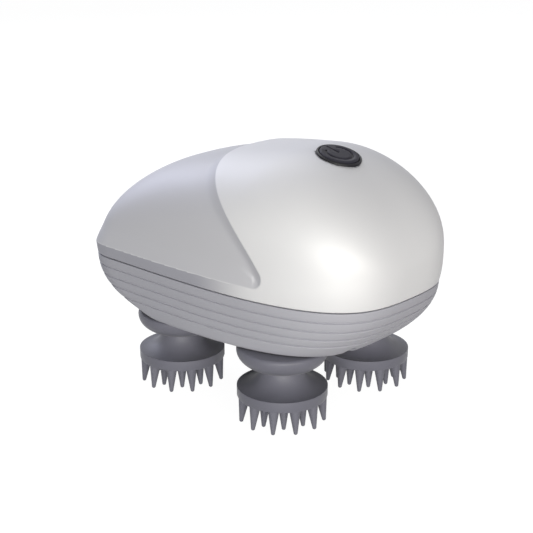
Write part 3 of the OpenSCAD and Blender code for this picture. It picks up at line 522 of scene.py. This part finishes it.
# Moulded epoxy: black and finely blasted.
epoxy, tree, shader = start("black moulded epoxy")
skin_detail(tree, shader, "1B1B1D", "252528", 1, (0.5, 0.65), 0.15, 0.01)
dress(epoxy, "board_chips")
# Tinned steel: stamped, bright, slightly clouded by the tin.
tinned, tree, shader = start("tinned stamped steel", Metallic=1.0)
skin_detail(tree, shader, "B9BABC", "CFD0D1", 1.2, (0.22, 0.38), 0.3, 0.005)
dress(tinned, "tact_switch", "charge_socket")
# PVC insulation: soft gloss, one colour for each pair of leads.
for finish, dark, light, name in (("red PVC insulation", "A8241C", "BC3026", "battery_leads"),
                                  ("blue PVC insulation", "1C478F", "2556A6", "motor_leads"),
                                  ("amber PVC insulation", "CC7724", "DE8A34", "charge_leads")):
    pvc, tree, shader = start(finish)
    skin_detail(tree, shader, dark, light, 4, (0.3, 0.42), 0.5, 0.01)
    dress(pvc, name)


# ---- Upper shell ----
# The silver dome of the case: moulded ABS under a satin pearl lacquer. Its nose field is sunk by
# 1.6 mm behind a sculpted step, above a lip band that runs to the joint.

STEP_D = 1.6
STEP_X = 30.5
STEP_R = 4.0
STEP_LEAN = 0.6
STEP_BEND = 0.0162
STEP_POWER = 1.5
STEP_WIDTH = 4.0
LIP_WIDTH = 8.0
LIP_SHARE = 0.8
LIP_Z = 53.5
CORNER_Z = 58.5
DOME_FOOT = JOINT_Z + GASKET / 2
DOME_CUT = DOME_FOOT + 0.4
# The dome's lower rim under the cut, as drops below it and steps in from ring to ring.
DOME_RIM = ((0.25, 0.05), (0.37, 0.1), (0.4, 0.3))
# The point from which both spheres are thrown onto the skin.
HEART = Vector((5, 0, 58))
THREAD_R = 1.3
THREAD_TOP = 59
ROUND_BOSS = (0.0, 0.8, 1.6, 2.4, 3.1, 3.9, 4.7, 5.5)
RING_R = 8.3
BUTTON = Matrix.Translation((31.2, 0, 94.094)) @ Matrix.Rotation(math.radians(15), 4, "Y")


def into_field(x, z):
    """Distance from the field's edge in the side view, above 0 inside the field."""
    rise = max(0.0, z - CORNER_Z)
    slope = STEP_LEAN + 2 * STEP_BEND * rise
    line = STEP_X - STEP_LEAN * (z - CORNER_Z) - STEP_BEND * rise * rise
    lean = math.hypot(1, slope)
    a = (line - x) / lean - STEP_R
    b = z - LIP_Z - STEP_R
    c = -slope / lean
    if a < c * b and b < c * a:
        return STEP_R - math.sqrt((a * a + b * b - 2 * a * b * c) / (1 - c * c))
    return min(a, b) + STEP_R


def slope_of(function, p, step=0.01):
    """Direction in which a function of a point grows fastest."""
    parts = [function(p + Vector(way) * step) - function(p - Vector(way) * step)
             for way in ((1, 0, 0), (0, 1, 0), (0, 0, 1))]
    return Vector(parts).normalized()


def sculpt(p):
    """A point of the egg, sunk into the nose field or tucked in under its lip."""
    inside = into_field(p.x, p.z)
    out = slope_of(egg, p)
    if inside > 0:
        way = slope_of(lambda q: into_field(q.x, q.z), p)
        along_skin = inside / max(0.2, math.sqrt(max(0.0, 1 - out.dot(way) ** 2)))
        width = LIP_WIDTH + (STEP_WIDTH - LIP_WIDTH) * min(1.0, abs(way.x) / LIP_SHARE)
        return p - out * STEP_D * (1 - (1 - min(1.0, along_skin / width)) ** STEP_POWER)
    if p.z < LIP_Z:
        return p - out * NOSE_TUCK * nose_share(p.x) * (LIP_Z - p.z) / (LIP_Z - DOME_FOOT)
    return p


def near_step(v, outer, inner):
    """Whether a vertex of the dome lies close to the field's edge."""
    return -outer < into_field(v.co.x, v.co.z) < inner


def slice_at(bm, z, reach, clear):
    """Cuts a mesh at a height, and clears what lies below it if asked."""
    bmesh.ops.bisect_plane(bm, geom=bm.verts[:] + bm.edges[:] + bm.faces[:], dist=reach,
                           plane_co=(0, 0, z), plane_no=(0, 0, 1), clear_inner=clear)


# Satin pearl lacquer on ABS: pale silver, its tone and gloss drifting a little over the skin. The sunk
# field and the lip band under it are greyed with painted shade, the band more and more towards the nose.
pearl_abs, tree, shader = start("pearl silver ABS", Metallic=0.15)
skin_detail(tree, shader, "D3D3D7", "D9D9DD", 18, (0.5, 0.56), 0.4, 0.004)
# Painted shade: the attribute below mixes a darker grey into the lacquer's colour.
painted_shade = add(tree, "ShaderNodeAttribute", attribute_name="painted_shade")
shaded_tone = add(tree, "ShaderNodeMix", {"Factor": painted_shade.outputs["Fac"]}, data_type="RGBA")
tree.links.new(shader.inputs["Base Color"].links[0].from_socket, shaded_tone.inputs["A"])
shaded_tone.inputs["B"].default_value = linear("9A9AA4")
tree.links.new(shaded_tone.outputs["Result"], shader.inputs["Base Color"])

bm = bmesh.new()
bmesh.ops.create_icosphere(bm, subdivisions=7, radius=1)
for v in bm.verts:
    v.co = skin(HEART, v.co.normalized())
for reach in (2.6, 1.6):
    close = [e for e in bm.edges
             if all(near_step(v, reach, reach + 1.2) and v.co.z > DOME_FOOT - 2 for v in e.verts)]
    made = bmesh.ops.subdivide_edges(bm, edges=close, cuts=1, use_grid_fill=True)["geom_inner"]
    for v in made:
        if isinstance(v, bmesh.types.BMVert):
            v.co = skin(HEART, (v.co - HEART).normalized())
bmesh.ops.triangulate(bm, faces=[f for f in bm.faces if len(f.verts) > 4])
slice_at(bm, DOME_CUT, 0.001, True)
slice_at(bm, LIP_Z, 0.05, False)
for v in bm.verts:
    v.co = sculpt(v.co)
close = [v for v in bm.verts if near_step(v, 0.5, 0.5) and not v.is_boundary]
bmesh.ops.smooth_vert(bm, verts=close, factor=0.4, use_axis_x=True, use_axis_y=True, use_axis_z=True)
edge = [e for e in bm.edges if e.is_boundary]
for drop, step in DOME_RIM:
    made = bmesh.ops.extrude_edge_only(bm, edges=edge)["geom"]
    for v in made:
        if isinstance(v, bmesh.types.BMVert):
            out = slope_of(egg, v.co)
            v.co = v.co - Vector((out.x, out.y, 0)).normalized() * step
            v.co.z = DOME_CUT - drop
    edge = [e for e in made if isinstance(e, bmesh.types.BMEdge) and e.is_boundary]
lining = bmesh.new()
bmesh.ops.create_icosphere(lining, subdivisions=6, radius=1)
for v in lining.verts:
    v.co = skin(HEART, v.co.normalized(), WALL)
slice_at(lining, DOME_FOOT, 0.001, True)
inner_mesh = bpy.data.meshes.new("lining")
lining.to_mesh(inner_mesh)
lining.free()
bm.from_mesh(inner_mesh)
bpy.data.meshes.remove(inner_mesh)
bmesh.ops.triangle_fill(bm, edges=[e for e in bm.edges if e.is_boundary], normal=(0, 0, -1))
upper_shell = fit_piece("dome_shell", bm, "case", "upper_shell", "shell_pearl", pearl_abs, sharp=50)

opening = bmesh.new()
bmesh.ops.create_cone(opening, cap_ends=True, segments=128, radius1=RING_R, radius2=RING_R, depth=20,
                      matrix=BUTTON @ Matrix.Translation((0, 0, -2)))
cut_out(upper_shell, opening)
bosses = bmesh.new()
for x, y in CASE_SCREWS:
    spots = [Vector((x + BOSS_R * math.cos(t), y + BOSS_R * math.sin(t), HULL_TOP)) for t in ROUND_BOSS]
    boss_top = min(skin(spot, Vector((0, 0, 1))).z for spot in spots) - STEP_D - 1
    add_turned(bosses, [(0, THREAD_TOP), (THREAD_R, THREAD_TOP), (THREAD_R, DOME_FOOT), (BOSS_R, DOME_FOOT),
                        (BOSS_R, boss_top), (0, boss_top)], Matrix.Translation((x, y, 0)), 48)
join_in(upper_shell, bosses)

# How much painted shade each point of the skin takes: the field evenly, the lip band more and more to the
# nose.
FIELD_SHADE = 0.52
SHADE_EDGE = 0.5
BAND_SHADE_FADE = 32
BAND_TOP = LIP_Z + 0.12
shade_layer = upper_shell.data.attributes.new("painted_shade", "FLOAT", "POINT")
for v in upper_shell.data.vertices:
    x, z = v.co.x * 1000, v.co.z * 1000
    if z > BAND_TOP:
        share = FIELD_SHADE * min(1.0, max(0.0, into_field(x, z) / SHADE_EDGE))
    else:
        share = eased((STEP_X - x) / BAND_SHADE_FADE)
    shade_layer.data[v.index].value = share


# ---- Joint gasket ----
# A thin strip of black foam between the two shells, which shows as the dark line of the joint.

# Closed-cell foam: almost black and quite without gloss.
foam, tree, shader = start("black gasket foam")
skin_detail(tree, shader, "2A2A2E", "323236", 2, (0.8, 0.95), 0.3, 0.02)
dress(foam, "shell_gasket")


# ---- Massage heads ----
# Four soft silicone brushes, each moulded in one shot: a cup that hides the collar, a waisted
# neck, a disc and two rings of tines. They snap over the plastic cores on the output shafts.

DISC_R = 16.5
DISC_Z = 9.0
DISC_TOP = 13.0
NECK_R = 7.7
NECK_TOP = 20.5
CUP_R = 16.6
BOWL_Z = 27.0
CUP_TOP = 28.6
CUP_EDGE = 1.2
CUP_FLOOR = 24.4
WELL_R = 8.6
CORE_R = 5.9
CORE_FLANGE_R = 12
CORE_FLANGE_LOW = 10.6
CORE_FLANGE_TOP = 12.4
TIP_R = 0.75
TINE_R = 2.1
TINE_SUNK = 0.4
# Each ring of tines: how many, its turn in degrees, and its radius at the roots and at the tips.
TINE_RINGS = ((12, 0, DISC_R - TINE_R, DISC_R - 1), (9, -45, 10.2, 11.0))
BEND = [math.pi / 2 * k / 6 for k in range(7)]


def quarter(r0, r1, z0, z1, steps=20):
    """A quarter ellipse that leaves a rim flat and ends upright."""
    turns = [math.pi / 2 * k / steps for k in range(steps + 1)]
    return [(r0 + (r1 - r0) * math.sin(t), z1 - (z1 - z0) * math.cos(t)) for t in turns]


brush = [(0, DISC_Z), (DISC_R - 0.5, DISC_Z), (DISC_R - 0.15, DISC_Z + 0.15), (DISC_R, DISC_Z + 0.5),
         (DISC_R, DISC_TOP - 0.4)]
brush += quarter(DISC_R, NECK_R, DISC_TOP, NECK_TOP) + quarter(NECK_R, CUP_R, NECK_TOP + 0.1, BOWL_Z)
brush += [(CUP_R - CUP_EDGE * (1 - math.cos(t)), CUP_TOP - CUP_EDGE * (1 - math.sin(t))) for t in BEND]
brush += [(WELL_R + 0.3, CUP_TOP), (WELL_R, CUP_TOP - 0.3), (WELL_R, CUP_FLOOR), (CORE_R, CUP_FLOOR),
          (CORE_R, CORE_FLANGE_TOP), (CORE_FLANGE_R, CORE_FLANGE_TOP), (CORE_FLANGE_R, CORE_FLANGE_LOW),
          (0, CORE_FLANGE_LOW)]

for number, (x, y) in enumerate(HEADS, 1):
    bm = bmesh.new()
    axis = Matrix.Translation((x, y, 0))
    add_turned(bm, brush, axis, 128)
    for count, phase, root, tip in TINE_RINGS:
        lean = math.atan2(tip - root, DISC_Z - TIP_R)
        length = (DISC_Z - TIP_R) / math.cos(lean) + TINE_SUNK
        outline = [(TIP_R * math.sin(t), -TIP_R * math.cos(t)) for t in BEND]
        outline += [(TIP_R + (TINE_R - TIP_R) * s, length * s) for s in (0.25, 0.5, 0.75, 1.0)]
        outline += [(0, length)]
        for k in range(count):
            turn = Matrix.Rotation(math.radians(360 * k / count + phase), 4, "Z")
            stand = Matrix.Translation((tip, 0, TIP_R)) @ Matrix.Rotation(-lean, 4, "Y")
            add_turned(bm, outline, axis @ turn @ stand, 24)
    fit_piece(f"brush_head_{number}", bm, f"head_{number}", f"massage_head_{number}", "silicone_slate",
              silicone, sharp=40)


# ---- Button ----
# A round key of soft-touch plastic in a thin bezel, with the usual power symbol sunk into it.

RING_W = 0.8
FOOT_W = 1.6
FOOT_LOW = -6
FOOT_TOP = -4.9
HOLDER_AT = RING_R + 1.7
HOLDER_R = 2
HOLDER_HOLE_R = 0.9
HOLDER_LOW = -11
HOLDER_TOP = -5.5
CAP_R = 7.2
CAP_TOP = 0.9
CAP_LOW = -2.4
STEM_R = 1.6
STEM_LOW = -6.9
SEAL_GROOVE = (-1.9, -1.1)
SEAL_GROOVE_D = 0.6
SYMBOL_R = 4.8
SYMBOL_W = 0.7
SYMBOL_D = 0.3
SYMBOL_TURN = 292
SYMBOL_REACH = 6.2
BAR_L = 5.8
BAR_X = -3.2

# Soft-touch lacquer on the key: dark and matt, with a slight violet cast.
key_black, tree, shader = start("soft-touch key", Specular_IOR_Level=0.12)
skin_detail(tree, shader, "2E2D36", "33323C", 4, (0.5, 0.58), 0.25, 0.006)
# The bezel: bare black plastic, darker than the key. The sunken symbol takes the same dark colour as
# painted shade.
bezel_black_and_symbol_shade, tree, shader = start("black ABS bezel and symbol shade", Specular_IOR_Level=0.2)
skin_detail(tree, shader, "16151A", "1A191F", 4, (0.4, 0.5), 0.3, 0.006)

bm = bmesh.new()
add_turned(bm, [(RING_R - RING_W, 0.35), (RING_R - RING_W, FOOT_LOW), (RING_R + FOOT_W, FOOT_LOW),
                (RING_R + FOOT_W, FOOT_TOP), (RING_R, FOOT_TOP), (RING_R, 0.05), (RING_R - 0.1, 0.28),
                (RING_R - 0.4, 0.42), (RING_R - RING_W + 0.15, 0.5)], BUTTON, 128)
bezel = fit_piece("key_bezel", bm, "case", "button_ring", "button_dark", bezel_black_and_symbol_shade)
holders = bmesh.new()
for x in (-HOLDER_AT, HOLDER_AT):
    add_turned(holders, [(HOLDER_HOLE_R, HOLDER_LOW), (HOLDER_R, HOLDER_LOW), (HOLDER_R, HOLDER_TOP),
                         (HOLDER_HOLE_R, HOLDER_TOP)], BUTTON @ Matrix.Translation((x, 0, 0)), 48)
join_in(bezel, holders)

bm = bmesh.new()
groove_low, groove_top = SEAL_GROOVE
add_turned(bm, [(0, STEM_LOW), (STEM_R, STEM_LOW), (STEM_R, CAP_LOW), (CAP_R, CAP_LOW), (CAP_R, groove_low),
                (CAP_R - SEAL_GROOVE_D, groove_low), (CAP_R - SEAL_GROOVE_D, groove_top),
                (CAP_R, groove_top), (CAP_R, 0.4), (CAP_R - 0.12, 0.6), (CAP_R - 0.35, 0.71),
                (CAP_R - 0.8, 0.82), (3.5, 0.88), (0, CAP_TOP)], BUTTON, 128)
key = fit_piece("power_key", bm, "button", "button_cap", "button_dark", key_black, bezel_black_and_symbol_shade)
symbol = bmesh.new()
inner, outer, sunk = SYMBOL_R - SYMBOL_W / 2, SYMBOL_R + SYMBOL_W / 2, CAP_TOP - SYMBOL_D
verts = [symbol.verts.new((r, 0, z)) for r, z in ((inner, sunk), (outer, sunk), (outer, 2), (inner, 2))]
face = symbol.faces.new(verts)
bmesh.ops.spin(symbol, geom=[face] + list(face.edges) + verts, cent=(0, 0, 0), axis=(0, 0, 1),
               angle=math.radians(SYMBOL_TURN), steps=72)
bmesh.ops.rotate(symbol, verts=symbol.verts, cent=(0, 0, 0),
                 matrix=Matrix.Rotation(math.radians(-SYMBOL_TURN / 2), 3, "Z"))
bar = bmesh.ops.create_cube(symbol, size=1)["verts"]
bmesh.ops.scale(symbol, vec=(BAR_L, SYMBOL_W, 2), verts=bar)
bmesh.ops.translate(symbol, vec=(BAR_X, 0, sunk + 1), verts=bar)
bmesh.ops.transform(symbol, matrix=BUTTON, verts=symbol.verts)
cut_out(key, symbol)
# The sunken faces of the symbol take the dark bezel material: painted shade in the groove.
for face in key.data.polygons:
    spot = BUTTON.inverted() @ (face.center * 1000)
    if math.hypot(spot.x, spot.y) < SYMBOL_REACH and 0 < spot.z < sunk + 0.06:
        face.material_index = 1


# ---- Stage ----
# A pale floor and a bright, even surround. Two low strips at the front and the tail draw the warm
# highlight, and three soft lamps fill the front, the nose, in a cooler light, and the back.


def seen_rays(tree):
    """1 for rays from the camera, off gloss or through glass, and 0 for soft bounced light."""
    rays = add(tree, "ShaderNodeLightPath")
    seen = add(tree, "ShaderNodeMath", {0: rays.outputs["Is Camera Ray"], 1: rays.outputs["Is Glossy Ray"]},
               operation="MAXIMUM")
    seen = add(tree, "ShaderNodeMath", {0: seen.outputs[0], 1: rays.outputs["Is Transmission Ray"]},
               operation="MAXIMUM")
    return seen.outputs[0]


bpy.ops.mesh.primitive_plane_add(size=8)
floor = bpy.context.object
floor.name = "floor"
paper = bpy.data.materials.new("pale paper")
paper.use_nodes = True
tree = paper.node_tree
tree.nodes.clear()
seen = seen_rays(tree)
lit = add(tree, "ShaderNodeBsdfDiffuse", values={"Color": (0.16, 0.16, 0.16, 1)})
glow = add(tree, "ShaderNodeEmission", values={"Strength": 0.96})
white = add(tree, "ShaderNodeAddShader", {0: lit.outputs[0], 1: glow.outputs[0]})
choice = add(tree, "ShaderNodeMixShader", {0: seen, 1: lit.outputs[0], 2: white.outputs[0]})
add(tree, "ShaderNodeOutputMaterial", {"Surface": choice.outputs[0]})
floor.data.materials.append(paper)

world = bpy.data.worlds.new("studio")
bpy.context.scene.world = world
world.use_nodes = True
tree = world.node_tree
tree.nodes.clear()
seen = seen_rays(tree)
around = add(tree, "ShaderNodeBackground", values={"Color": (0.92, 0.94, 1.0, 1), "Strength": 0.2})
behind = add(tree, "ShaderNodeBackground", values={"Color": (1, 1, 1, 1), "Strength": 1.0})
choice = add(tree, "ShaderNodeMixShader", {0: seen, 1: around.outputs[0], 2: behind.outputs[0]})
add(tree, "ShaderNodeOutputWorld", {"Surface": choice.outputs[0]})

CASE_MIDDLE = Vector((0, 0, 0.055))
LAMP_AWAY = 0.9


def add_lamp(name, turn, height, size, power, colour):
    """A soft lamp that looks at the case: its angles in degrees, its size in metres, its watts."""
    lamp = bpy.data.lights.new(name, "AREA")
    lamp.shape = "RECTANGLE"
    lamp.size, lamp.size_y = size
    lamp.energy = power
    lamp.color = linear(colour)[:3]
    made = bpy.data.objects.new(name, lamp)
    bpy.context.scene.collection.objects.link(made)
    a, e = math.radians(turn), math.radians(height)
    way = Vector((math.sin(a) * math.cos(e), -math.cos(a) * math.cos(e), math.sin(e)))
    made.location = CASE_MIDDLE + way * LAMP_AWAY
    made.rotation_euler = way.to_track_quat("Z", "Y").to_euler()


add_lamp("front strip", 36, 2, (0.45, 0.1), 5.0, "FEFEF6")
add_lamp("tail strip", 68, 4, (0.45, 0.15), 2.9, "FFF9EE")
add_lamp("front lamp", 50, 30, (0.5, 0.5), 0.8, "FFFDF2")
add_lamp("nose lamp", -95, 30, (0.5, 0.5), 2.6, "E4E8FF")
add_lamp("back lamp", 238, 42, (0.6, 0.5), 2.4, "FBFCFF")

# A short telephoto that looks down at the button end and the near side.
camera = bpy.data.objects.new("camera", bpy.data.cameras.new("camera"))
bpy.context.scene.collection.objects.link(camera)
camera.data.sensor_width = 36
camera.data.lens = 78.5
camera.location = (0.2833, -0.3104, 0.1905)
camera.rotation_euler = (math.radians(70.95), 0, math.radians(42.74))
bpy.context.scene.camera = camera
bpy.context.scene.view_settings.view_transform = "Standard"
